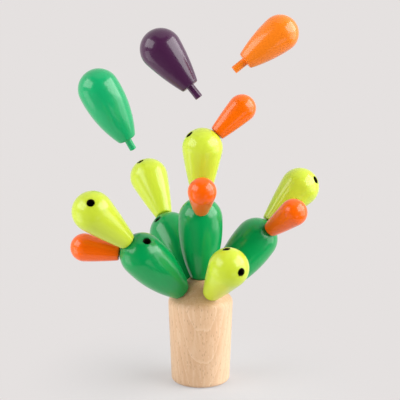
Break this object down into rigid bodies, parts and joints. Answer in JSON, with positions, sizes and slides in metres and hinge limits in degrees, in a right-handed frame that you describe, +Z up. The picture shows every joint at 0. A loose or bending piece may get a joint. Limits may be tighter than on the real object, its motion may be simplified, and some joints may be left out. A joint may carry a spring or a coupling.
{
  "type": "cactus balance game",
  "caption": "Wooden cactus balancing toy: a turned beech trunk with drilled holes and painted teardrop pads that plug into it and into each other by dowel pegs.",
  "frame": {"origin": "middle of the trunk's flat foot", "axes": "+Z up along the trunk, -Y towards the viewer of the picture, +X to the viewer's right"},
  "size_m": [0.1767, 0.1428, 0.2645],
  "materials": {
    "beech": "bare sanded beech",
    "green_paint": "glossy lacquer",
    "lime_paint": "glossy lacquer",
    "orange_paint": "glossy lacquer",
    "purple_paint": "glossy lacquer",
    "tangerine_paint": "glossy lacquer"
  },
  "bodies": {
    "trunk": {"trunk": "beech"},
    "green_left": {"green_left": "green_paint", "green_left_peg": "green_paint"},
    "green_back": {"green_back": "green_paint", "green_back_peg": "green_paint"},
    "green_centre": {"green_centre": "green_paint", "green_centre_peg": "green_paint"},
    "green_right": {"green_right": "green_paint", "green_right_peg": "green_paint"},
    "green_loose": {"green_loose": "green_paint", "green_loose_peg": "green_paint"},
    "lime_left": {"lime_left": "lime_paint", "lime_left_peg": "lime_paint"},
    "lime_back": {"lime_back": "lime_paint", "lime_back_peg": "lime_paint"},
    "lime_top": {"lime_top": "lime_paint", "lime_top_peg": "lime_paint"},
    "lime_right": {"lime_right": "lime_paint", "lime_right_peg": "lime_paint"},
    "lime_front": {"lime_front": "lime_paint", "lime_front_peg": "lime_paint"},
    "orange_left": {"orange_left": "orange_paint", "orange_left_peg": "orange_paint"},
    "orange_centre": {"orange_centre": "orange_paint", "orange_centre_peg": "orange_paint"},
    "orange_top": {"orange_top": "orange_paint", "orange_top_peg": "orange_paint"},
    "orange_right": {"orange_right": "orange_paint", "orange_right_peg": "orange_paint"},
    "purple_loose": {"purple_loose": "purple_paint", "purple_loose_peg": "purple_paint"},
    "tangerine_loose": {"tangerine_loose": "tangerine_paint", "tangerine_loose_peg": "tangerine_paint"}
  },
  "joints": [
    {"name": "green_left_pull", "type": "slide", "parent": "trunk", "child": "green_left", "axis": [-0.6214, -0.3374, 0.7071], "range_m": [0, 0.014]},
    {"name": "lime_front_pull", "type": "slide", "parent": "trunk", "child": "lime_front", "axis": [0.3374, -0.6214, 0.7071], "range_m": [0, 0.014]},
    {"name": "green_right_pull", "type": "slide", "parent": "trunk", "child": "green_right", "axis": [0.6214, 0.3374, 0.7071], "range_m": [0, 0.014]},
    {"name": "green_back_pull", "type": "slide", "parent": "trunk", "child": "green_back", "axis": [-0.3374, 0.6214, 0.7071], "range_m": [0, 0.014]},
    {"name": "green_centre_pull", "type": "slide", "parent": "trunk", "child": "green_centre", "axis": [0, 0, 1], "range_m": [0, 0.014]},
    {"name": "lime_left_pull", "type": "slide", "parent": "green_left", "child": "lime_left", "axis": [-0.6424, -0.3488, 0.6824], "range_m": [0, 0.014]},
    {"name": "lime_back_pull", "type": "slide", "parent": "green_back", "child": "lime_back", "axis": [-0.3374, 0.6214, 0.7071], "range_m": [0, 0.014]},
    {"name": "lime_top_pull", "type": "slide", "parent": "green_centre", "child": "lime_top", "axis": [0.0344, 0, 0.9994], "range_m": [0, 0.014]},
    {"name": "lime_right_pull", "type": "slide", "parent": "green_right", "child": "lime_right", "axis": [0.6424, 0.3488, 0.6824], "range_m": [0, 0.014]},
    {"name": "orange_left_pull", "type": "slide", "parent": "green_left", "child": "orange_left", "axis": [-0.9864, 0.1026, 0.1284], "range_m": [0, 0.014]},
    {"name": "orange_centre_pull", "type": "slide", "parent": "green_centre", "child": "orange_centre", "axis": [0.0259, -0.7427, 0.6691], "range_m": [0, 0.014]},
    {"name": "orange_right_pull", "type": "slide", "parent": "green_right", "child": "orange_right", "axis": [0.6294, -0.4711, 0.618], "range_m": [0, 0.014]},
    {"name": "orange_top_pull", "type": "slide", "parent": "lime_top", "child": "orange_top", "axis": [0.7036, 0.1949, 0.6833], "range_m": [0, 0.014]},
    {"name": "green_loose_pull", "type": "slide", "parent": "lime_back", "child": "green_loose", "axis": [-0.4662, -0.1136, 0.8774], "range_m": [-0.02, 0]},
    {"name": "purple_loose_pull", "type": "slide", "parent": "trunk", "child": "purple_loose", "axis": [-0.6191, 0.1729, 0.766], "range_m": [0, 0.03]},
    {"name": "tangerine_loose_pull", "type": "slide", "parent": "trunk", "child": "tangerine_loose", "axis": [0.7815, 0.1364, 0.6088], "range_m": [0, 0.03]}
  ]
}
